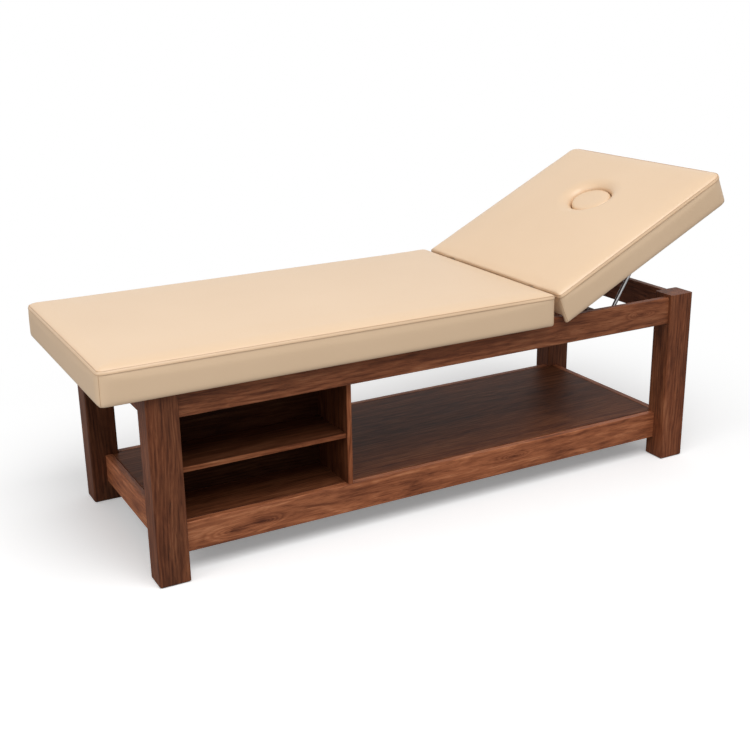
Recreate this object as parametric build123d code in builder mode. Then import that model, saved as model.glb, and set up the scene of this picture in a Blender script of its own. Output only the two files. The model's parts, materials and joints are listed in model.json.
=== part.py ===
from build123d import *
from math import atan2, cos, hypot, radians, sin
import os

# Wooden massage table with a lifting back section and a small open cubby.
# X runs from the foot end to the head end, Y from the front long side to the
# back one, and Z is up from the floor. The origin is on the floor, under the
# middle of the whole table as it stands.

# Frame
frame_length = 1760.0
frame_width = 680.0
leg_x = 85.0
leg_y = 75.0
leg_height = 543.0
leg_round = 5.0
leg_foot_chamfer = 4.0
rail_height = 84.0
rail_thick = 22.0
rail_round = 3.0
top_rail_inset = 12.0
low_rail_inset = 45.0
low_rail_z = 62.0
tenon_thick = 10.0
tenon_height = 60.0
tenon_length = 20.0
mortise_gap = 0.2

# Main cushion and the board under it: the cover comes down round the board
# and the tops of the rails as a skirt
cushion_above_legs = 1.0
cushion_side_overhang = 22.0
skirt_drop = 24.0
skirt_end = 21.0
skirt_gap = 2.0
skirt_corner = 12.0
boxing_height = 90.0
crown = 14.0
crown_run = 150.0
cushion_round = 14.0
foot_overhang = 118.0
main_foot_corner = 22.0
hinge_corner = 9.0
main_head_from_frame_head = 543.0
deck_thick = 10.0
deck_margin = 14.0
deck_foot_margin = 23.0
deck_corner = 12.0
deck_chamfer = 1.0
leg_clearance = 1.0

# Lifting back section, measured along it and square to it from the hinge pin
rest_angle = 26.5
pin_ahead = 24.0
pin_below_seam = 14.0
back_foot_at = -18.0
back_foot_lean = 14.0
back_head_at = 657.0
back_corner = 42.0
back_board_foot = 22.0
back_board_head = 633.0
back_board_side = 16.0
back_board_wide_to = 428.0
back_board_leg_gap = 5.0
back_board_corner = 20.0

# Face opening and its plug
face_at = 426.0
face_along = 125.0
face_across = 155.0
face_rim_round = 12.0
face_ledge = 15.0
plug_gap = 2.0
plug_rim_round = 14.0
plug_sunk = 5.0
soft_gap = 0.3

# Side profile shared by both cushions, from the lower edge up to the seam
side_height_shares = (0.0, 0.02, 0.07, 0.15, 0.30, 0.55, 0.82, 1.0)
side_inset_shares = (1.0, 0.62, 0.26, 0.08, 0.01, 0.0, 0.10, 0.30)
# Crown profile, from the seam to the flat middle of the top
crown_height_shares = (0.0, 0.34, 0.64, 0.88, 1.0)
crown_inset_shares = (0.0, 0.09, 0.27, 0.60, 1.0)
# Rounded rim profile, from a vertical wall to a flat top
rim_depth_shares = (1.0, 0.62, 0.29, 0.08, 0.0)
rim_spread_shares = (0.0, 0.08, 0.29, 0.62, 1.0)

# Hinges of the back section
hinge_inset = 123.0
pin_radius = 4.0
pin_gap = 0.08
eye_radius = 10.0
web_thick = 5.0
web_root_half = 9.0
cheek_thick = 4.0
cheek_gap = 0.5
bolt_head_radius = 7.0
bolt_head_height = 3.5
flange_thick = 4.0
flange_width = 56.0
flange_height = 56.0
flange_below_top = 4.0
flange_round = 4.0
web_clear_of_cushion = 4.0
lug_base_at = 22.0
lug_base_length = 40.0
lug_base_width = 30.0
hinge_slot_width = 24.0
hinge_slot_above_pin = 11.0
slot_gap = 2.0
screw_radius = 2.0
screw_head_radius = 4.0
screw_head_height = 2.4
bracket_screw_length = 18.0
lug_screw_length = 9.0
screw_gap = 0.1
flange_screw_y = 17.0
lug_screw_pitch = 20.0
lug_screw_share = 0.6

# Bearers across the frame
bearer_thick = 22.0
deck_bearer_height = 60.0
second_bearer_share = 0.5
back_bearer_from_head = 382.0
back_bearer_height = 40.0

# Cubby under the foot half
panel_thick = 14.0
cubby_front_at = 47.0
cubby_depth = 183.0
cubby_length = 501.0
cubby_back_thick = 12.0
shelf_above_board = 136.0
shelf_thick = 13.0
shelf_setback = 8.0
shelf_end_gap = 0.5
shelf_round = 1.5
shelf_pin_radius = 2.5
shelf_pin_half = 8.0
shelf_pin_gap = 0.1
shelf_pin_in_from_edge = 35.0

# Storage board between the lower rails
board_thick = 12.0
board_gap = 0.5
board_chamfer = 2.0
batten_thick = 18.0
batten_height = 22.0

# Steel prop under the back section and the racks it stands on
prop_radius = 6.0
prop_foot_radius = 7.0
prop_bend = 24.0
prop_side_inset = 80.0
prop_foot_inset = 38.0
prop_top_at = 388.5
prop_top_below = 77.0
prop_length = 255.4
prop_angle = 33.16
prop_ratio = 0.91
prop_bore_gap = 0.08
block_inset = 135.0
block_width = 30.0
block_half_length = 22.0
block_nose = 13.0
rack_thick = 18.0
rack_below_rail = 1.0
rack_gap = 0.4
rack_head_reach = 26.0
rack_toe = 3.0
path_step = 0.05
rack_notch_radius = 5.0
rack_notch_depth = 2.0
rack_notch_places = (-20.0, -36.0)
overrun = 5.0

# Places worked out from the sizes
half_width = frame_width / 2
cushion_width = frame_width + 2 * cushion_side_overhang
back_board_half = half_width - back_board_side
back_board_narrow_half = half_width - leg_y - back_board_leg_gap
back_bearer_at = frame_length - back_bearer_from_head
main_head_at = frame_length - main_head_from_frame_head
cubby_end_at = leg_x + cubby_length
second_bearer_at = cubby_end_at + second_bearer_share * (main_head_at - cubby_end_at)
prop_half_width = half_width - prop_side_inset
prop_foot_half = half_width - prop_foot_inset
block_at = half_width - block_inset
slope_x = cos(radians(rest_angle))
slope_z = sin(radians(rest_angle))
pin_from_foot = main_head_at + pin_ahead
cushion_base_z = leg_height + cushion_above_legs
skirt_z = cushion_base_z - skirt_drop
seam_z = skirt_z + boxing_height
pin_z = seam_z - pin_below_seam
pin_above_base = pin_z - cushion_base_z
pin_above_skirt = pin_z - skirt_z
side_profile = [
    (height * boxing_height, inset * cushion_round)
    for height, inset in zip(side_height_shares, side_inset_shares)
]
crown_profile = [
    (boxing_height + height * crown, side_profile[-1][1] + inset * crown_run)
    for height, inset in zip(crown_height_shares, crown_inset_shares)
]
head_reach = pin_from_foot + max(
    (back_head_at - inset) * slope_x - (height - pin_above_skirt) * slope_z
    for height, inset in side_profile
)
foot_x = (foot_overhang - head_reach) / 2
head_x = foot_x + frame_length
middle_x = (foot_x + head_x) / 2
rail_top = cushion_base_z - deck_thick
top_rail_z = rail_top - rail_height
rack_low_z = top_rail_z - rack_below_rail
low_rail_top = low_rail_z + rail_height
top_rail_mid = top_rail_inset + rail_thick / 2
low_rail_mid = low_rail_inset + rail_thick / 2
skirt_inner_half = half_width + skirt_gap
top_rail_inner = half_width - top_rail_inset - rail_thick
low_rail_inner = half_width - low_rail_inset - rail_thick
leg_inner_y = half_width - leg_y
main_head_x = foot_x + main_head_at
bearer_face_x = main_head_x - flange_thick
deck_head_x = main_head_x - cushion_round - leg_clearance
pin_x = foot_x + pin_from_foot
hinge_places = (hinge_inset - half_width, half_width - hinge_inset)
cubby_y = cubby_front_at - half_width
cubby_back_y = cubby_y + cubby_depth
cubby_x = foot_x + leg_x
divider_x = cubby_x + cubby_length - panel_thick
shelf_z = low_rail_top + shelf_above_board

# Planes of the back section: one lies along it, the other stands on edge
back_plane = Plane(
    origin=(pin_x, 0, pin_z),
    x_dir=(slope_x, 0, slope_z),
    z_dir=(-slope_z, 0, slope_x),
)


def back_side_plane(y):
    return Plane(
        origin=(pin_x, y, pin_z),
        x_dir=(slope_x, 0, slope_z),
        z_dir=(0, -1, 0),
    )


def turned(along, above, angle):
    # A point of the back section, given from the pin, with the section at an angle
    turn = radians(angle)
    x = pin_x + along * cos(turn) - above * sin(turn)
    z = pin_z + along * sin(turn) + above * cos(turn)
    return x, z


def prop_foot(angle):
    # Middle of the prop's lower rod with the section at an angle
    lean = radians(angle + prop_angle + prop_ratio * (angle - rest_angle))
    x, z = turned(prop_top_at, -prop_top_below, angle)
    return x - prop_length * cos(lean), z - prop_length * sin(lean)


def save(piece, name):
    piece.part.label = name
    export_step(piece.part, f"parts/{name}.step")


# Legs: square posts with eased arrises, mortised on their two inner faces
def leg(name, x_side, y_side):
    x_mid = middle_x + x_side * (frame_length - leg_x) / 2
    y_mid = y_side * (half_width - leg_y / 2)
    slot_height = tenon_height + 2 * mortise_gap
    slot_thick = tenon_thick + 2 * mortise_gap
    slot_depth = tenon_length + mortise_gap
    with BuildPart() as post:
        with BuildSketch() as section:
            with Locations((x_mid, y_mid)):
                Rectangle(leg_x, leg_y)
            fillet(section.vertices(), leg_round)
        extrude(amount=leg_height)
        chamfer(post.faces().sort_by(Axis.Z)[0].edges(), leg_foot_chamfer)
        for middle, rail_z in ((top_rail_mid, top_rail_z), (low_rail_mid, low_rail_z)):
            z_mid = rail_z + rail_height / 2
            long_x = x_mid - x_side * (leg_x - slot_depth) / 2
            long_y = y_side * (half_width - middle)
            with Locations((long_x, long_y, z_mid)):
                Box(slot_depth, slot_thick, slot_height, mode=Mode.SUBTRACT)
            end_x = middle_x + x_side * (frame_length / 2 - middle)
            end_y = y_mid - y_side * (leg_y - slot_depth) / 2
            with Locations((end_x, end_y, z_mid)):
                Box(slot_thick, slot_depth, slot_height, mode=Mode.SUBTRACT)
    save(post, name)


# Rails: boards on edge with eased arrises and a tenon at each end
def rail(name, plane, across, rail_z, half_span):
    z_mid = rail_z + rail_height / 2
    with BuildPart() as board:
        with BuildSketch(plane) as section:
            with Locations((across, z_mid)):
                Rectangle(rail_thick, rail_height)
            fillet(section.vertices(), rail_round)
        extrude(amount=half_span, both=True)
        with BuildSketch(plane):
            with Locations((across, z_mid)):
                Rectangle(tenon_thick, tenon_height)
        extrude(amount=half_span + tenon_length, both=True)
    save(board, name)


def frame_rails():
    long_half = frame_length / 2 - leg_x
    end_half = leg_inner_y
    across_plane = Plane.YZ.offset(middle_x)
    levels = (("top", top_rail_mid, top_rail_z), ("low", low_rail_mid, low_rail_z))
    for level, inset, rail_z in levels:
        rail(f"{level}_rail_front", across_plane, inset - half_width, rail_z, long_half)
        rail(f"{level}_rail_back", across_plane, half_width - inset, rail_z, long_half)
        rail(f"{level}_rail_foot", Plane.XZ, foot_x + inset, rail_z, end_half)
        rail(f"{level}_rail_head", Plane.XZ, head_x - inset, rail_z, end_half)


# Storage board: lies flush with the lower rails, notched round the legs
def storage_board():
    half_long = frame_length / 2 - low_rail_inset - rail_thick - board_gap
    half_wide = low_rail_inner - board_gap
    notch_x = half_long - (frame_length / 2 - leg_x) + board_gap
    notch_y = half_wide - leg_inner_y + board_gap
    with BuildPart() as board:
        with BuildSketch(Plane.XY.offset(low_rail_top - board_thick)):
            with Locations((middle_x, 0)):
                Rectangle(2 * half_long, 2 * half_wide)
            corner_x = half_long - notch_x / 2
            corner_y = half_wide - notch_y / 2
            with Locations((middle_x, 0)):
                with GridLocations(2 * corner_x, 2 * corner_y, 2, 2):
                    Rectangle(notch_x, notch_y, mode=Mode.SUBTRACT)
        extrude(amount=board_thick)
        chamfer(board.faces().sort_by(Axis.Z)[-1].edges(), board_chamfer)
    save(board, "storage_board")


def board_battens():
    half_long = frame_length / 2 - leg_x - board_gap
    batten_z = low_rail_top - board_thick - batten_height
    with BuildPart() as battens:
        with BuildSketch(Plane.XY.offset(batten_z)):
            with Locations((middle_x, 0)):
                with GridLocations(0, 2 * low_rail_inner - batten_thick, 1, 2):
                    Rectangle(2 * half_long, batten_thick)
        extrude(amount=batten_height)
    save(battens, "board_battens")


# Cubby: two upright panels, a back and one loose shelf on pins
def cubby_panel(name, panel_x, pin_face_x):
    y_mid = (cubby_y + cubby_back_y) / 2
    height = rail_top - low_rail_top
    with BuildPart() as panel:
        with BuildSketch(Plane.XY.offset(low_rail_top)):
            with Locations((panel_x + panel_thick / 2, y_mid)):
                Rectangle(panel_thick, cubby_depth)
        extrude(amount=height)
        front = panel.faces().sort_by(Axis.Y)[0]
        fillet(front.edges().filter_by(Axis.Z), shelf_round)
        for y in shelf_pin_ys():
            with Locations(Plane((pin_face_x, y, shelf_z - shelf_pin_radius), z_dir=(1, 0, 0))):
                Cylinder(
                    shelf_pin_radius + shelf_pin_gap,
                    2 * (shelf_pin_half + shelf_pin_gap),
                    mode=Mode.SUBTRACT,
                )
    save(panel, name)


def shelf_pin_ys():
    front = cubby_y + shelf_setback + shelf_pin_in_from_edge
    back = cubby_back_y - shelf_pin_in_from_edge
    return front, back


def cubby():
    cubby_panel("cubby_end_panel", cubby_x, cubby_x + panel_thick)
    cubby_panel("cubby_divider", divider_x, divider_x)

    with BuildPart() as back:
        with BuildSketch(Plane.XY.offset(low_rail_top)):
            with Locations((cubby_x, cubby_back_y)):
                Rectangle(cubby_length, cubby_back_thick, align=(Align.MIN, Align.MIN))
        extrude(amount=rail_top - low_rail_top)
    save(back, "cubby_back_panel")

    shelf_x = cubby_x + panel_thick + shelf_end_gap
    shelf_length = cubby_length - 2 * panel_thick - 2 * shelf_end_gap
    shelf_depth = cubby_depth - shelf_setback
    with BuildPart() as shelf:
        with BuildSketch(Plane.XY.offset(shelf_z)):
            with Locations((shelf_x, cubby_y + shelf_setback)):
                Rectangle(shelf_length, shelf_depth, align=(Align.MIN, Align.MIN))
        extrude(amount=shelf_thick)
        front = shelf.faces().sort_by(Axis.Y)[0]
        fillet(front.edges().filter_by(Axis.X), shelf_round)
    save(shelf, "cubby_shelf")

    with BuildPart() as pins:
        for x in (cubby_x + panel_thick, divider_x):
            for y in shelf_pin_ys():
                with Locations(Plane((x, y, shelf_z - shelf_pin_radius), z_dir=(1, 0, 0))):
                    Cylinder(shelf_pin_radius, 2 * shelf_pin_half)
    save(pins, "shelf_pins")


# Bearers between the long top rails
def bearer(name, starts, height):
    with BuildPart() as beam:
        for start in starts:
            with BuildSketch(Plane.XZ) as section:
                with Locations((foot_x + start + bearer_thick / 2, rail_top - height / 2)):
                    Rectangle(bearer_thick, height)
            extrude(amount=top_rail_inner, both=True)
    return beam


def bearers():
    starts = (cubby_end_at, second_bearer_at)
    save(bearer("deck_bearers", starts, deck_bearer_height), "deck_bearers")
    save(bearer("back_bearer", (back_bearer_at,), back_bearer_height), "back_bearer")
    start = main_head_at - flange_thick - bearer_thick
    beam = bearer("hinge_bearer", (start,), rail_height)
    with beam:
        for x, y, z in bracket_screw_places():
            with Locations(Plane((x - flange_thick, y, z), z_dir=(1, 0, 0))):
                Cylinder(
                    screw_radius + screw_gap,
                    2 * bracket_screw_length,
                    mode=Mode.SUBTRACT,
                )
    save(beam, "hinge_bearer")


# Main deck board: full width over the rails, narrower between the foot legs
def deck_board():
    foot_edge = foot_x - foot_overhang + deck_foot_margin
    shoulder = foot_x + leg_x + leg_clearance
    narrow_half = leg_inner_y - leg_clearance
    wide_half = half_width - deck_margin
    with BuildPart() as deck:
        with BuildSketch(Plane.XY.offset(rail_top)) as shape:
            with BuildLine():
                Polyline(
                    (foot_edge, -narrow_half),
                    (shoulder, -narrow_half),
                    (shoulder, -wide_half),
                    (deck_head_x, -wide_half),
                    (deck_head_x, wide_half),
                    (shoulder, wide_half),
                    (shoulder, narrow_half),
                    (foot_edge, narrow_half),
                    close=True,
                )
            make_face()
            fillet(shape.vertices().group_by(Axis.X)[0], deck_corner)
        extrude(amount=deck_thick)
        chamfer(deck.faces().sort_by(Axis.Z)[0].edges(), deck_chamfer)
    save(deck, "deck_board")


# Cushion body: boxing drawn in at the seam and a crowned top, lofted
# through rounded outlines; foot_edge gives the foot end at each height
def cushion_body(piece, plane, foot_edge, head_edge, foot_corner, head_corner):
    for profile in (side_profile, crown_profile):
        rings = []
        for height, inset in profile:
            start = foot_edge(height) + inset
            end = head_edge - inset
            with BuildSketch(plane.offset(height)) as ring:
                with Locations(((start + end) / 2, 0)):
                    Rectangle(end - start, cushion_width - 2 * inset)
                fillet(ring.vertices().group_by(Axis.X)[0], foot_corner)
                fillet(ring.vertices().group_by(Axis.X)[-1], head_corner)
            rings.append(ring.sketch)
        with piece:
            loft(rings, ruled=True)


# The hollow inside the skirt, for the board and the tops of the frame
def skirt_hollow(piece, below, start, end, rounded_end):
    with BuildSketch(below) as hollow:
        with Locations(((start + end) / 2, 0)):
            Rectangle(end - start, 2 * skirt_inner_half)
        fillet(hollow.vertices().group_by(Axis.X)[rounded_end], skirt_corner)
    with piece:
        extrude(hollow.sketch, amount=skirt_drop + overrun, mode=Mode.SUBTRACT)


def main_cushion():
    foot_edge = foot_x - foot_overhang
    piece = BuildPart()
    plane = Plane.XY.offset(skirt_z)
    cushion_body(piece, plane, lambda height: foot_edge, main_head_x, main_foot_corner, hinge_corner)
    below = plane.offset(-overrun)
    skirt_hollow(piece, below, foot_edge + skirt_end, main_head_x + overrun, 0)
    save(piece, "main_cushion")


# A rounded rim for an oval: rings from the wall's oval out to the flat top
def oval_rings(plane, along, across, out):
    rings = []
    for depth, spread in zip(rim_depth_shares, rim_spread_shares):
        with BuildSketch(plane.offset(-depth * abs(out))) as ring:
            with Locations((face_at, 0)):
                Ellipse(along / 2 + spread * out, across / 2 + spread * out)
        rings.append(ring.sketch)
    return rings


# Back section's cushion: its foot face leans back, with the face opening
# through it and a slot for each hinge
def back_cushion():
    def foot_edge(height):
        return back_foot_at + back_foot_lean * height / boxing_height

    piece = BuildPart()
    base = back_plane.offset(-pin_above_skirt)
    top = base.offset(boxing_height + crown)
    below = base.offset(-overrun)
    cushion_body(piece, base, foot_edge, back_head_at, hinge_corner, back_corner)
    skirt_hollow(piece, below, back_foot_at - overrun, back_head_at - skirt_end, -1)
    slot_start = back_foot_at - overrun
    slot_end = lug_base_at + lug_base_length + slot_gap
    slot_height = pin_above_skirt + hinge_slot_above_pin
    pocket_height = skirt_drop + flange_thick + screw_head_height + slot_gap
    with piece:
        with BuildSketch(below):
            with Locations((face_at, 0)):
                Ellipse(face_along / 2, face_across / 2)
        extrude(amount=boxing_height + crown + 2 * overrun, mode=Mode.SUBTRACT)
        loft(
            oval_rings(top, face_along, face_across, face_rim_round),
            ruled=True,
            mode=Mode.SUBTRACT,
        )
        for side, y in zip((-1, 1), hinge_places):
            with BuildSketch(below):
                with Locations(((slot_start + slot_end) / 2, y)):
                    Rectangle(slot_end - slot_start, hinge_slot_width)
            extrude(amount=slot_height + overrun, mode=Mode.SUBTRACT)
            lug_y = y + side * (lug_base_width / 2 + slot_gap)
            with BuildSketch(below):
                with Locations(((slot_start + slot_end) / 2, lug_y)):
                    Rectangle(slot_end - slot_start, lug_base_width + 2 * slot_gap)
            extrude(amount=pocket_height + overrun, mode=Mode.SUBTRACT)
    save(piece, "back_cushion")


# Back board: wide over the side rails, narrower between the head legs
def back_board():
    base = back_plane.offset(-pin_above_base - deck_thick)
    with BuildPart() as board:
        with BuildSketch(base) as shape:
            with BuildLine():
                Polyline(
                    (back_board_foot, -back_board_half),
                    (back_board_wide_to, -back_board_half),
                    (back_board_wide_to, -back_board_narrow_half),
                    (back_board_head, -back_board_narrow_half),
                    (back_board_head, back_board_narrow_half),
                    (back_board_wide_to, back_board_narrow_half),
                    (back_board_wide_to, back_board_half),
                    (back_board_foot, back_board_half),
                    close=True,
                )
            make_face()
            fillet(shape.vertices().group_by(Axis.X)[-1], back_board_corner)
            with Locations((face_at, 0)):
                Ellipse(
                    face_along / 2 - face_ledge,
                    face_across / 2 - face_ledge,
                    mode=Mode.SUBTRACT,
                )
        extrude(amount=deck_thick)
        for along, y in lug_screw_places():
            with BuildSketch(base):
                with Locations((along, y)):
                    Circle(screw_radius + screw_gap)
            extrude(amount=deck_thick, mode=Mode.SUBTRACT)
    save(board, "back_board")


# Plug of the face opening: sits on the ledge that the board leaves
def face_plug():
    base = back_plane.offset(-pin_above_base + soft_gap)
    height = boxing_height - skirt_drop + crown - plug_sunk - soft_gap
    along = face_along - 2 * plug_gap
    across = face_across - 2 * plug_gap
    with BuildPart() as plug:
        with BuildSketch(base):
            with Locations((face_at, 0)):
                Ellipse(along / 2, across / 2)
        extrude(amount=height - plug_rim_round)
        loft(oval_rings(base.offset(height), along, across, -plug_rim_round), ruled=True)
    save(plug, "face_plug")


# Hinges: a bracket on the bearer, a lug on the back board and a bolt
def bracket_screw_places():
    mid_z = rail_top - flange_below_top - flange_height / 2
    return [
        (main_head_x, y + dy, mid_z)
        for y in hinge_places
        for dy in (-flange_screw_y, flange_screw_y)
    ]


def lug_screw_places():
    mid = lug_base_at + lug_base_length / 2
    return [
        (mid + along, y + side * (cheek_gap / 2 + lug_base_width * lug_screw_share))
        for side, y in zip((-1, 1), hinge_places)
        for along in (-lug_screw_pitch / 2, lug_screw_pitch / 2)
    ]


def hinge_bracket(name, side, y):
    low_z = rail_top - flange_below_top - flange_height
    web_y = y - side * cheek_gap / 2
    with BuildPart() as bracket:
        with BuildSketch(Plane.YZ.offset(bearer_face_x)) as flange:
            with Locations((y, low_z + flange_height / 2)):
                Rectangle(flange_width, flange_height)
            fillet(flange.vertices(), flange_round)
        extrude(amount=flange_thick)
        for screw_x, screw_y, screw_z in bracket_screw_places():
            with Locations(Plane((screw_x, screw_y, screw_z), z_dir=(1, 0, 0))):
                Cylinder(
                    screw_radius + screw_gap,
                    2 * flange_thick + overrun,
                    mode=Mode.SUBTRACT,
                )
        with BuildSketch(Plane.XZ.offset(-web_y)):
            with BuildLine():
                Polyline(
                    (main_head_x, low_z),
                    (main_head_x, low_z + flange_height),
                    (main_head_x + web_clear_of_cushion, cushion_base_z),
                    (pin_x - eye_radius, pin_z),
                    (pin_x + eye_radius, pin_z),
                    (pin_x + web_root_half, cushion_base_z),
                    (main_head_x + 2 * web_root_half, low_z),
                    close=True,
                )
            make_face()
            with Locations((pin_x, pin_z)):
                Circle(eye_radius)
                Circle(pin_radius + pin_gap, mode=Mode.SUBTRACT)
        extrude(amount=side * web_thick)
    save(bracket, name)


def hinge_lug(name, side, y):
    tangent = atan2(pin_above_base, lug_base_at + lug_base_length / 2)
    tip_along = eye_radius * sin(tangent)
    tip_above = eye_radius * cos(tangent)
    base_y = y + side * cheek_gap / 2
    base_plane = back_plane.offset(-pin_above_base)
    with BuildPart() as lug:
        with BuildSketch(base_plane) as base:
            with Locations((lug_base_at + lug_base_length / 2, base_y + side * lug_base_width / 2)):
                Rectangle(lug_base_length, lug_base_width)
            for along, screw_y in lug_screw_places():
                with Locations((along, screw_y)):
                    Circle(screw_radius + screw_gap, mode=Mode.SUBTRACT)
        extrude(amount=flange_thick)
        with BuildSketch(back_side_plane(base_y)):
            with BuildLine():
                Polyline(
                    (lug_base_at, -pin_above_base),
                    (lug_base_at + lug_base_length, -pin_above_base),
                    (tip_along, tip_above),
                    (-tip_along, -tip_above),
                    close=True,
                )
            make_face()
            Circle(eye_radius)
            Circle(pin_radius + pin_gap, mode=Mode.SUBTRACT)
        extrude(amount=-side * cheek_thick)
    save(lug, name)


def hinge_bolts():
    head_near = cheek_gap / 2 + web_thick
    nut_near = cheek_gap + cheek_thick
    with BuildPart() as bolts:
        for side, y in zip((-1, 1), hinge_places):
            start = y - side * (head_near + bolt_head_height)
            with BuildSketch(Plane((pin_x, start, pin_z), z_dir=(0, side, 0))):
                RegularPolygon(bolt_head_radius, 6)
            extrude(amount=bolt_head_height)
            with BuildSketch(Plane((pin_x, start, pin_z), z_dir=(0, side, 0))):
                Circle(pin_radius)
            extrude(amount=head_near + nut_near + 2 * bolt_head_height)
            with BuildSketch(Plane((pin_x, y + side * nut_near, pin_z), z_dir=(0, side, 0))):
                RegularPolygon(bolt_head_radius, 6)
            extrude(amount=bolt_head_height)
    save(bolts, "hinge_bolts")


def screws():
    with BuildPart() as bracket_set:
        for x, y, z in bracket_screw_places():
            with BuildSketch(Plane((x, y, z), z_dir=(-1, 0, 0))):
                Circle(screw_radius)
            extrude(amount=bracket_screw_length)
            with BuildSketch(Plane((x, y, z), z_dir=(1, 0, 0))):
                Circle(screw_head_radius)
            extrude(amount=screw_head_height)
    save(bracket_set, "bracket_screws")

    seat = back_plane.offset(-pin_above_base + flange_thick)
    with BuildPart() as lug_set:
        for along, y in lug_screw_places():
            with BuildSketch(seat):
                with Locations((along, y)):
                    Circle(screw_radius)
            extrude(amount=-lug_screw_length)
            with BuildSketch(seat):
                with Locations((along, y)):
                    Circle(screw_head_radius)
            extrude(amount=screw_head_height)
    save(lug_set, "lug_screws")


# Prop: one bent bar with a cross rod welded over its lower ends
def prop_blocks():
    board_below = pin_above_base + deck_thick
    with BuildPart() as blocks:
        for y in (-block_at, block_at):
            with BuildSketch(back_side_plane(y)) as section:
                with BuildLine():
                    Line(
                        (prop_top_at - block_half_length, -board_below),
                        (prop_top_at + block_half_length, -board_below),
                    )
                    Line(
                        (prop_top_at + block_half_length, -board_below),
                        (prop_top_at + block_nose, -prop_top_below),
                    )
                    CenterArc((prop_top_at, -prop_top_below), block_nose, 0, -180)
                    Line(
                        (prop_top_at - block_nose, -prop_top_below),
                        (prop_top_at - block_half_length, -board_below),
                    )
                make_face()
                with Locations((prop_top_at, -prop_top_below)):
                    Circle(prop_radius + prop_bore_gap, mode=Mode.SUBTRACT)
            extrude(amount=block_width / 2, both=True)
    save(blocks, "prop_blocks")


def prop_frame():
    top_x, top_z = turned(prop_top_at, -prop_top_below, rest_angle)
    foot_rod_x, foot_rod_z = prop_foot(rest_angle)
    with BuildPart() as prop:
        with BuildLine() as bar:
            FilletPolyline(
                (foot_rod_x, -prop_half_width, foot_rod_z),
                (top_x, -prop_half_width, top_z),
                (top_x, prop_half_width, top_z),
                (foot_rod_x, prop_half_width, foot_rod_z),
                radius=prop_bend,
            )
        with BuildSketch(Plane(origin=bar.line @ 0, z_dir=bar.line % 0)):
            Circle(prop_radius)
        sweep()
        with BuildSketch(Plane((foot_rod_x, 0, foot_rod_z), z_dir=(0, 1, 0))):
            Circle(prop_foot_radius)
        extrude(amount=prop_foot_half, both=True)
    save(prop, "prop_frame")


# Racks: wedges under the ends of the lower rod. The upper edge follows the
# rod's path where it rests, with notches cut into the slope below it
def prop_rack(name, y):
    x, z = prop_foot(rest_angle)
    ahead_x, ahead_z = prop_foot(rest_angle + path_step)
    run = hypot(ahead_x - x, ahead_z - z)
    run_x = (ahead_x - x) / run
    run_z = (ahead_z - z) / run
    reach = prop_foot_radius + rack_gap
    seat = (x + reach * run_z, z - reach * run_x)

    def on_slope(along, deeper=0.0):
        return seat[0] + along * run_x + deeper * run_z, seat[1] + along * run_z - deeper * run_x

    toe_run = (seat[1] - rack_low_z - rack_toe) / run_z
    head = on_slope(rack_head_reach)
    toe = on_slope(-toe_run)
    with BuildPart() as rack:
        with BuildSketch(Plane.XZ.offset(-y)):
            with BuildLine():
                Polyline(toe, head, (head[0], rack_low_z), (toe[0], rack_low_z), close=True)
            make_face()
            for place in rack_notch_places:
                with Locations(on_slope(place, rack_notch_depth - rack_notch_radius)):
                    Circle(rack_notch_radius, mode=Mode.SUBTRACT)
        extrude(amount=rack_thick / 2, both=True)
    save(rack, name)


def main():
    os.makedirs("parts", exist_ok=True)
    for x_name, x_side in (("foot", -1), ("head", 1)):
        for y_name, y_side in (("front", -1), ("back", 1)):
            leg(f"leg_{x_name}_{y_name}", x_side, y_side)
    frame_rails()
    storage_board()
    board_battens()
    cubby()
    bearers()
    deck_board()
    main_cushion()
    back_cushion()
    back_board()
    face_plug()
    for name, side, y in zip(("front", "back"), (-1, 1), hinge_places):
        hinge_bracket(f"hinge_bracket_{name}", side, y)
        hinge_lug(f"hinge_lug_{name}", side, y)
    hinge_bolts()
    screws()
    prop_blocks()
    prop_frame()
    rack_y = top_rail_inner - rack_thick / 2
    prop_rack("prop_rack_front", -rack_y)
    prop_rack("prop_rack_back", rack_y)


main()
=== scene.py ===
import json
from math import cos, radians, sin

import bpy
from mathutils import Matrix, Vector


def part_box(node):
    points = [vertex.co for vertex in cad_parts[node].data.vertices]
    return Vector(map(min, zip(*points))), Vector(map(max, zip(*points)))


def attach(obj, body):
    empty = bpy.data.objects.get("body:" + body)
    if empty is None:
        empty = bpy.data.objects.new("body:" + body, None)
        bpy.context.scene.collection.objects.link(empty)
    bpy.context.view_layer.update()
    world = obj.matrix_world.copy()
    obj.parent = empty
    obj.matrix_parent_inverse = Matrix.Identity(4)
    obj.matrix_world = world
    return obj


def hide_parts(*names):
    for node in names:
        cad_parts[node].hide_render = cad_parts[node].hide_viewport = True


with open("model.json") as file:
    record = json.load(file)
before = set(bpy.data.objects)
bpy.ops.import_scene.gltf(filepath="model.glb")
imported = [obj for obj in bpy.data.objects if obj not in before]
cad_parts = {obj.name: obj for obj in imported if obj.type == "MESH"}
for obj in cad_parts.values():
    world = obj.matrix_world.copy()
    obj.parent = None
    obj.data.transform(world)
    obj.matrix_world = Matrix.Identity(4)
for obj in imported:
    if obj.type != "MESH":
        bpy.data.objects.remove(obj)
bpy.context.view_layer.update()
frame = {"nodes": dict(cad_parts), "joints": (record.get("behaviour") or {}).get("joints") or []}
scene = bpy.context.scene


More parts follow.
